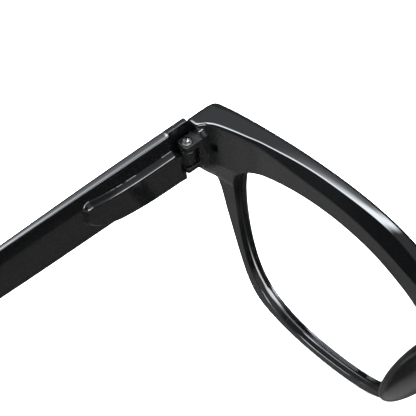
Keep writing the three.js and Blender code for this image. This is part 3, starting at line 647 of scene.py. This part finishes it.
def temple_mesh(name):
    n = len(TEMPLE) - 1
    fine = 60
    u = np.arange(n * fine + 1) / fine
    line = catmull(TEMPLE[:, :2], u / n)
    vals = np.stack([np.interp(u, np.arange(n + 1), TEMPLE[:, k]) for k in (2, 3, 4)], 1)
    line = np.column_stack([blur(line[:, k], 22, "odd", "odd") for k in (0, 1)])
    vals = np.column_stack([blur(vals[:, k], 26, "odd", "odd") for k in range(3)])
    d = np.gradient(line, axis=0)
    d[0] = (1, 0)
    d /= np.linalg.norm(d, axis=1)[:, None]
    s = np.concatenate([[0], np.cumsum(np.linalg.norm(np.diff(line, axis=0), axis=1))])
    near_y = np.unique(np.round(np.concatenate([
        np.arange(TEMPLE_START_Y + 0.12, 36.2, 0.13),
        [14.14, 14.26, 15.09, 15.21, 15.94, 16.06]]), 3)) - TEMPLE_START_Y
    near_y = near_y[near_y > 0.02]
    far = np.arange(36.2 - TEMPLE_START_Y, s[-1], 0.7)
    pos = np.concatenate([near_y, far, [s[-1]]])
    pos = pos[np.concatenate([[True], np.diff(pos) > 0.03])]
    at = lambda a: np.interp(pos, s, a)
    cy_, cz_ = at(line[:, 0]), at(line[:, 1])
    dy, dz = at(d[:, 0]), at(d[:, 1])
    h, tm, tt = at(vals[:, 0]) / 2, at(vals[:, 1]), at(vals[:, 2])
    grow = np.ones(len(pos))
    shift = np.zeros(len(pos))
    k = np.arange(1, 17) / 16 * math.pi / 2 * 0.985
    ext = lambda a, v: np.concatenate([a, v])
    last = len(pos) - 1
    rep = lambda a: np.concatenate([a, np.full(len(k), a[last])])
    cy_, cz_, dy, dz, h, tm, tt = map(rep, (cy_, cz_, dy, dz, h, tm, tt))
    grow, shift = ext(grow, np.cos(k) ** 0.6), ext(shift, 4.2 * np.sin(k))
    N = len(cy_)
    h = h * grow
    xi = TEMPLE_INNER_X + (1 - grow) * 0.9
    tt2, tm2 = tt - (1 - grow) * 1.8 * tt / tm, tm - (1 - grow) * 1.8
    tt2 = np.maximum(tt2, 0.25)
    xo = xi + tt2
    one = np.ones(N)
    crown = 0.25 * smoothstep(16.02, 16.4, cy_) * np.minimum(grow, tt / 1.9)
    loop = section_loop([
        (np.column_stack([xi, h - crown]), one * 0, 0.34, 7, 90),
        (np.column_stack([xi, -h]), one * 0, 0.42, 6, 6),
        (np.column_stack([xo, -h]), one * 0, 0.5, 7, 26),
        (np.column_stack([xo, h]), one * 0, 0.4, 7, 2),
        (np.column_stack([xi + tt2 * 0.62, h - crown * 0.14]), one * 0, 2.0, 4, 2),
        (np.column_stack([xi + tt2 * 0.30, h - crown * 0.52]), one * 0, 2.0, 4, 2),
    ])
    x, v = loop[..., 0], loop[..., 1]
    bulge = ((tm2 - tt2) / tt2)[:, None] * (1 - (v / h[:, None]) ** 2)
    x = xi[:, None] + (x - xi[:, None]) * (1 + bulge)
    outer_x = xi[:, None] + (tt2[:, None]) * (1 + bulge)
    y = cy_[:, None] - dz[:, None] * v + (dy * shift)[:, None]
    z = cz_[:, None] + dy[:, None] * v + (dz * shift)[:, None]
    # inner face: cut-out round the hinge, and the raised panel
    zone = y < 40
    x_in = np.repeat(xi[:, None], x.shape[1], 1)
    ph = np.zeros_like(x)
    rows = np.where(zone.any(axis=1))[0]
    ph[rows] = panel_height(y[rows], z[rows])
    x_in = x_in - 1.1 * ph
    x_in = x_in + 0.32 * smoothstep(0.38, 1.0, v / h[:, None]) * (1 - ph)   # eased back above the panel
    up = smoothstep(37.69, 37.81, z)
    top = smoothstep(41.94, 42.06, z)
    end_y = 14.2 + up * 0.95 + top * 0.85
    cut = 1 - smoothstep(-0.06, 0.06, y - end_y)
    x_in = x_in * (1 - cut) + TEMPLE_WALL_X * cut
    x = outer_x - (outer_x - x) * (outer_x - x_in) / (outer_x - xi[:, None])
    z = np.maximum(z, FOOT_Z)
    pts = np.stack([x, y, z], -1)
    first = pts[0].copy()
    c = np.array([(first[:, 0].min() + first[:, 0].max()) / 2, 0, first[:, 2].mean()])
    small = first.copy()
    small[:, 0] = c[0] + (first[:, 0] - c[0]) * 0.86
    small[:, 2] = c[2] + (first[:, 2] - c[2]) * 0.985
    small[:, 1] = TEMPLE_START_Y
    half = (first + small) / 2
    half[:, 0] += (first[:, 0] - half[:, 0]) * 0.45
    half[:, 2] += (first[:, 2] - half[:, 2]) * 0.45
    half[:, 1] = TEMPLE_START_Y + 0.035
    pts = np.concatenate([small[None], half[None], pts])
    return loft(name, pts)


# ---------------------------------------------------------------- hinges
def front_leaf(name):
    x0, x1 = HINGE_X - 1.3, HINGE_X + 1.28
    plate = rounded_outline([(x0, 11.0), (x1, 11.0), (x1, 14.75), (x0, 14.75)], [0.05, 0.05, 0.5, 0.42])
    top = post(name, plate, UPPER[0], UPPER[1], edge=0.13)
    low = post("low", plate, LOWER[0], LOWER[1], edge=0.13)
    foot = box_solid(61.95, 63.7, 7.6, 11.88, 38.35, 43.85, edge=0.06)
    hole = post("hole", disc_outline(HINGE_X, HINGE_Y, 1.0), UPPER[1] - 0.75, UPPER[1] + 1, edge=0.02, seg=1)
    bore = post("bore", disc_outline(HINGE_X, HINGE_Y, 0.7), 30, 50, edge=0.02, seg=1)
    web = box_solid(x0 + 0.02, HINGE_X + 1.2, 11.05, 12.02, LOWER[0] + 0.05, UPPER[1] - 0.05, edge=0.06)
    boolean(top, low, "UNION")
    boolean(top, foot, "UNION")
    boolean(top, web, "UNION")
    boolean(top, hole, "DIFFERENCE")
    boolean(top, bore, "DIFFERENCE")
    return finish_shading(top, 42)


def temple_leaf(name):
    z0, z1 = MIDDLE
    # barrel with a rounded lower end
    prof = [(z0, 0.85), (z0 + 0.02, 0.98), (z0 + 0.10, 1.12), (z0 + 0.26, 1.22), (z0 + 0.5, 1.28), (z0 + 0.8, 1.3),
            (z1 - 0.3, 1.3), (z1 - 0.12, 1.27), (z1 - 0.03, 1.2), (z1, 1.08)]
    rings = [np.column_stack([disc_outline(HINGE_X, HINGE_Y, r, 72), np.full(72, z)]) for z, r in prof]
    barrel = loft(name, rings)
    tongue = box_solid(63.2, 64.1, HINGE_Y - 0.3, 23.0, TONGUE_Z[0], TONGUE_Z[1], edge=0.1)
    root = box_solid(HINGE_X, 63.88, HINGE_Y, 15.0, TONGUE_Z[0] + 0.05, TONGUE_Z[1], edge=0.08)
    bore = post("bore", disc_outline(HINGE_X, HINGE_Y, 0.7), 30, 50, edge=0.02, seg=1)
    boolean(barrel, tongue, "UNION")
    boolean(barrel, root, "UNION")
    boolean(barrel, bore, "DIFFERENCE")
    return finish_shading(barrel, 42)


def screw_mesh(name):
    top = UPPER[1]
    nr, na = 44, 128
    a = np.arange(na) / na * 2 * math.pi
    rings = []
    for z, r in [(LOWER[0] + 0.2, 0.45), (LOWER[0] + 0.28, 0.56), (top - 0.62, 0.56), (top - 0.6, 0.6), (top - 0.6, 0.84),
                 (top - 0.55, 0.88), (top - 0.10, 0.88), (top - 0.05, 0.872), (top - 0.015, 0.85)]:
        rings.append(np.column_stack([HINGE_X + r * np.cos(a), HINGE_Y + r * np.sin(a), np.full(na, z)]))
    turn = 0.5
    for r in np.linspace(0.83, 0.01, nr):
        x, y = r * np.cos(a), r * np.sin(a)
        dome = top + 0.02 * (1 - (r / 0.83) ** 2) - 0.004
        c, s = math.cos(-turn), math.sin(-turn)
        lx, ly = x * c - y * s, x * s + y * c
        arm = lambda p, w: smoothstep(0.66, 0.58, np.abs(p)) * smoothstep(0.185, 0.125, np.abs(w))
        recess = np.maximum(arm(lx, ly), arm(ly, lx))
        depth = 0.36 * recess * (1 - 0.45 * smoothstep(0.2, 0.62, np.full(na, r)))
        rings.append(np.column_stack([HINGE_X + x, HINGE_Y + y, dome - depth]))
    return finish_shading(loft(name, rings), 50)


# ---------------------------------------------------------------- materials
def tree_for(name):
    m = bpy.data.materials.new(name)
    m.use_nodes = True
    nt = m.node_tree
    nt.nodes.clear()
    out = nt.nodes.new("ShaderNodeOutputMaterial")
    bsdf = nt.nodes.new("ShaderNodeBsdfPrincipled")
    nt.links.new(bsdf.outputs["BSDF"], out.inputs["Surface"])
    coord = nt.nodes.new("ShaderNodeTexCoord")
    return m, nt, bsdf, coord


def noise(nt, coord, scale, detail=3.0, rough=0.5, stretch=None):
    n = nt.nodes.new("ShaderNodeTexNoise")
    n.inputs["Scale"].default_value = scale
    n.inputs["Detail"].default_value = detail
    n.inputs["Roughness"].default_value = rough
    src = coord.outputs["Object"]
    if stretch:
        mp = nt.nodes.new("ShaderNodeMapping")
        mp.inputs["Scale"].default_value = stretch
        nt.links.new(src, mp.inputs["Vector"])
        src = mp.outputs["Vector"]
    nt.links.new(src, n.inputs["Vector"])
    return n.outputs["Fac"]


def to_range(nt, fac, a, b, lo=0.3, hi=0.7):
    n = nt.nodes.new("ShaderNodeMapRange")
    n.inputs["From Min"].default_value = lo
    n.inputs["From Max"].default_value = hi
    n.inputs["To Min"].default_value = a
    n.inputs["To Max"].default_value = b
    nt.links.new(fac, n.inputs["Value"])
    return n.outputs["Result"]


def ramp(nt, fac, stops):
    n = nt.nodes.new("ShaderNodeValToRGB")
    el = n.color_ramp.elements
    while len(el) < len(stops):
        el.new(0.5)
    for e, (p, c) in zip(el, stops):
        e.position = p
        e.color = (*c, 1.0)
    nt.links.new(fac, n.inputs["Fac"])
    return n.outputs["Color"]


def bump(nt, bsdf, height, strength, distance, below=None):
    n = nt.nodes.new("ShaderNodeBump")
    n.inputs["Strength"].default_value = strength
    n.inputs["Distance"].default_value = distance
    nt.links.new(height, n.inputs["Height"])
    if below is not None:
        nt.links.new(below, n.inputs["Normal"])
    nt.links.new(n.outputs["Normal"], bsdf.inputs["Normal"])
    return n.outputs["Normal"]


def plastic(name, base, rough_lo, rough_hi):
    """Polished injection-moulded plastic: faint flow marks in the gloss, a very
    shallow unevenness of the surface, and a trace of dust-fine speckle."""
    m, nt, bsdf, coord = tree_for(name)
    cloud = noise(nt, coord, 55.0, 2.0)
    speck = noise(nt, coord, 2600.0, 2.0, 0.6)
    r, g, b = base
    col = ramp(nt, cloud, [(0.3, (r * 0.8, g * 0.8, b * 0.8)), (0.7, (r * 1.25, g * 1.25, b * 1.3))])
    nt.links.new(col, bsdf.inputs["Base Color"])
    mixer = nt.nodes.new("ShaderNodeMath")
    mixer.operation = "MULTIPLY_ADD"
    nt.links.new(speck, mixer.inputs[0])
    mixer.inputs[1].default_value = 0.03
    nt.links.new(cloud, mixer.inputs[2])
    nt.links.new(to_range(nt, mixer.outputs[0], rough_lo, rough_hi, 0.34, 0.74), bsdf.inputs["Roughness"])
    bump(nt, bsdf, noise(nt, coord, 90.0, 1.0), 0.06, 0.00003)
    bsdf.inputs["IOR"].default_value = 1.49
    bsdf.inputs["Coat Weight"].default_value = 0.0
    return m


def steel(name):
    m, nt, bsdf, coord = tree_for(name)
    grain = noise(nt, coord, 900.0, 3.0, 0.6, (1.0, 14.0, 1.0))
    patch = noise(nt, coord, 500.0, 3.0)
    nt.links.new(ramp(nt, patch, [(0.3, (0.09, 0.09, 0.088)), (0.7, (0.17, 0.17, 0.168))]), bsdf.inputs["Base Color"])
    nt.links.new(to_range(nt, grain, 0.12, 0.28), bsdf.inputs["Roughness"])
    bump(nt, bsdf, grain, 0.25, 0.00001)
    bsdf.inputs["Metallic"].default_value = 1.0
    return m


def hinge_metal(name):
    """Blackened metal, a little less glossy than the plastic."""
    m, nt, bsdf, coord = tree_for(name)
    grain = noise(nt, coord, 1400.0, 3.0, 0.6)
    nt.links.new(ramp(nt, grain, [(0.3, (0.0018, 0.0018, 0.0018)), (0.7, (0.004, 0.004, 0.0038))]), bsdf.inputs["Base Color"])
    nt.links.new(to_range(nt, grain, 0.16, 0.30), bsdf.inputs["Roughness"])
    bump(nt, bsdf, grain, 0.25, 0.00001)
    bsdf.inputs["Metallic"].default_value = 0.0
    bsdf.inputs["IOR"].default_value = 1.5
    bsdf.inputs["Specular IOR Level"].default_value = 0.22
    return m


def lens_clear(name):
    m, nt, bsdf, coord = tree_for(name)
    haze = noise(nt, coord, 40.0, 2.0)
    nt.links.new(ramp(nt, haze, [(0.3, (0.985, 0.99, 0.99)), (0.7, (1.0, 1.0, 1.0))]), bsdf.inputs["Base Color"])
    nt.links.new(to_range(nt, haze, 0.0, 0.008), bsdf.inputs["Roughness"])
    bsdf.inputs["Transmission Weight"].default_value = 1.0
    bsdf.inputs["IOR"].default_value = 1.5
    return m


MAT = {
    "black_plastic": plastic("gloss_black_plastic", (0.0013, 0.0014, 0.0014), 0.03, 0.07),
    "pad_plastic": plastic("pad_black_plastic", (0.0016, 0.0017, 0.0017), 0.06, 0.12),
    "lens": lens_clear("clear_lens"),
    "hinge_metal": hinge_metal("blackened_hinge_metal"),
    "screw_steel": steel("screw_steel"),
}


def add_piece(ob, node_slot, body, *nodes):
    ob.data.materials.clear()
    ob.data.materials.append(MAT[node_slot])
    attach(ob, body)
    if nodes:
        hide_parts(*nodes)
    return ob


front.name = front.data.name = "front_moulding"
add_piece(front, "black_plastic", "front", "front_frame")

left = {
    "lens": finish_shading(lens_mesh("lens_clear_left"), 60, False),
    "pad": finish_shading(pad_mesh("nose_pad_soft_left"), 60, False),
    "leaf": front_leaf("front_leaf_left"),
    "tleaf": temple_leaf("temple_leaf_left"),
    "screw": screw_mesh("screw_left"),
    "temple": finish_shading(temple_mesh("temple_moulding_left"), 50),
}
PLAN = {
    "lens": ("lens", "front", "lens"),
    "pad": ("pad_plastic", "front", "nose_pad"),
    "leaf": ("hinge_metal", "front", "front_hinge"),
    "tleaf": ("hinge_metal", None, "temple_hinge"),
    "screw": ("screw_steel", "front", "hinge_screw"),
    "temple": ("black_plastic", None, "temple"),
}
pieces = [front]
for key, ob in left.items():
    slot_name, body, node = PLAN[key]
    other = mirror_object(ob, ob.name.replace("_left", "_right"))
    if "normals" in ob.modifiers:
        finish_shading(other, 42 if key in ("leaf", "tleaf") else 50)
    for o_, side in ((ob, "left"), (other, "right")):
        add_piece(o_, slot_name, body or side + "_temple", f"{node}_{side}")
        pieces.append(o_)
        if key == "lens":
            o_.visible_shadow = False
            o_.visible_glossy = False

# ---------------------------------------------------------------- studio
floor = new_object("floor", [(-3, -3, 0), (3, -3, 0), (3, 3, 0), (-3, 3, 0)], [(0, 1, 2, 3)])
fm, fnt, fb, fcoord = tree_for("pale_floor")
fnt.links.new(ramp(fnt, noise(fnt, fcoord, 8.0), [(0.3, (0.93, 0.93, 0.93)), (0.7, (0.95, 0.95, 0.95))]), fb.inputs["Base Color"])
fb.inputs["Roughness"].default_value = 0.9
fb.inputs["Specular IOR Level"].default_value = 0.0
fb.inputs["Emission Color"].default_value = (1.0, 1.0, 1.0, 1.0)
fb.inputs["Emission Strength"].default_value = 0.30
floor.data.materials.append(fm)
floor.visible_glossy = False

SOFTBOX = 20.0
world = bpy.data.worlds.new("studio")
bpy.context.scene.world = world
world.use_nodes = True
wn = world.node_tree
wn.nodes.clear()
w_out = wn.nodes.new("ShaderNodeOutputWorld")
w_bg = wn.nodes.new("ShaderNodeBackground")
w_tc = wn.nodes.new("ShaderNodeTexCoord")
w_sep = wn.nodes.new("ShaderNodeSeparateXYZ")
wn.links.new(w_tc.outputs["Generated"], w_sep.inputs["Vector"])
dx, dy, dz = (w_sep.outputs[k] for k in "XYZ")


def m2(op, a, b):
    n = wn.nodes.new("ShaderNodeMath")
    n.operation = op
    for k, v in enumerate((a, b)):
        if isinstance(v, (int, float)):
            n.inputs[k].default_value = v
        else:
            wn.links.new(v, n.inputs[k])
    return n.outputs[0]


def ease(v, a, b, to_a=0.0, to_b=1.0):
    n = wn.nodes.new("ShaderNodeMapRange")
    n.interpolation_type = "SMOOTHSTEP"
    n.inputs["From Min"].default_value = a
    n.inputs["From Max"].default_value = b
    n.inputs["To Min"].default_value = to_a
    n.inputs["To Max"].default_value = to_b
    wn.links.new(v, n.inputs["Value"])
    return n.outputs["Result"]


# a large softbox overhead with a soft near edge, a bright wall on one side,
# a pale room above and a darker one low down
zc = m2("MAXIMUM", dz, 0.05)
tx, ty = m2("DIVIDE", dx, zc), m2("DIVIDE", dy, zc)
near = m2("ADD", m2("MULTIPLY", m2("SUBTRACT", 0.76, tx), 15.0), m2("MULTIPLY", m2("ADD", ty, 0.53), 25.0))
near = m2("ADD", near, ease(tx, 0.04, 0.28, 10.0, 0.0))
panel_x = ease(tx, -0.09, 0.05)
panel_y = m2("MULTIPLY", ease(dy, -0.53, -0.45), ease(ty, 0.45, 0.75, 1.0, 0.0))
softbox = m2("MULTIPLY", m2("MULTIPLY", panel_x, panel_y), m2("MULTIPLY", ease(near, 9.0, 26.0), ease(dz, 0.3, 0.5)))
glow = m2("MULTIPLY", m2("MULTIPLY", panel_x, panel_y), m2("MULTIPLY", ease(near, 0.0, 14.0, 0.0, 2.6), ease(dz, 0.3, 0.5)))
room = m2("MULTIPLY", ease(dz, 0.1, 0.7, 0.0, 0.62), ease(dy, 0.4, 0.75, 1.0, 0.0))
room = m2("MULTIPLY", room, ease(dy, -0.56, -0.45, 0.25, 1.0))
line = m2("MULTIPLY", m2("MULTIPLY", ease(dz, -0.4, -0.2), ease(dz, 0.0, 0.2, 0.7, 0.0)), ease(dy, 0.7, 0.82))
rear = m2("MULTIPLY", ease(m2("SUBTRACT", dy, dx), -0.22, 0.16, 0.0, 0.16), ease(dx, -0.05, 0.3))
rear = m2("MULTIPLY", m2("ADD", rear, ease(dy, -0.4, 0.5, 0.0, 0.09)), ease(dz, -0.2, 0.15, 1.0, 0.0))
nadir = ease(dz, -1.0, -0.93, 0.4, 0.0)
wall = m2("ADD", ease(dz, -0.74, -0.66, 0.15, 0.0), ease(dz, -0.4, -0.1, 0.0, 0.6))
wall = m2("MULTIPLY", wall, ease(dx, -0.5, -0.3, 1.0, 0.0))
lit = m2("MULTIPLY", ease(dz, 0.16, 0.34, 0.0, 18.0), ease(dz, 0.44, 0.62, 1.0, 0.0))
lit = m2("MULTIPLY", lit, m2("MULTIPLY", ease(dx, -0.6, -0.4, 1.0, 0.0), ease(dy, -0.53, -0.45)))
base = m2("ADD", ease(dx, 0.0, 0.4, 0.0, 0.14), 0.03)
total = m2("MULTIPLY", softbox, SOFTBOX)
for part in (glow, room, rear, nadir, wall, lit, line, base):
    total = m2("ADD", total, part)
wn.links.new(total, w_bg.inputs["Strength"])
w_tint = ramp(wn, ease(dz, -0.2, 0.7), [(0.0, (1.0, 1.0, 0.98)), (1.0, (0.94, 0.985, 1.03))])
wn.links.new(w_tint, w_bg.inputs["Color"])
wn.links.new(w_bg.outputs["Background"], w_out.inputs["Surface"])

# ---------------------------------------------------------------- camera
cam_data = bpy.data.cameras.new("camera")
cam_data.sensor_width = 36.0
cam_data.lens = 36.0 * 4200.0 / 416.0
cam_data.clip_start = 0.02
cam_data.clip_end = 20.0
cam = bpy.data.objects.new("camera", cam_data)
bpy.context.scene.collection.objects.link(cam)
R = np.array([[-0.64883658, -0.75757891, -0.07131117],
              [-0.53467699, 0.52058896, -0.66566332],
              [0.5414163, -0.39377827, -0.74283717]])
C = place((-324.04270571, 291.82659806, 555.79246201))
right, up, back = R[0], -R[1], -R[2]
cam.matrix_world = Matrix(((right[0], up[0], back[0], C[0]), (right[1], up[1], back[1], C[1]),
                           (right[2], up[2], back[2], C[2]), (0, 0, 0, 1)))
bpy.context.scene.camera = cam
bpy.context.scene.view_settings.view_transform = "Standard"
bpy.context.scene.view_settings.look = "None"
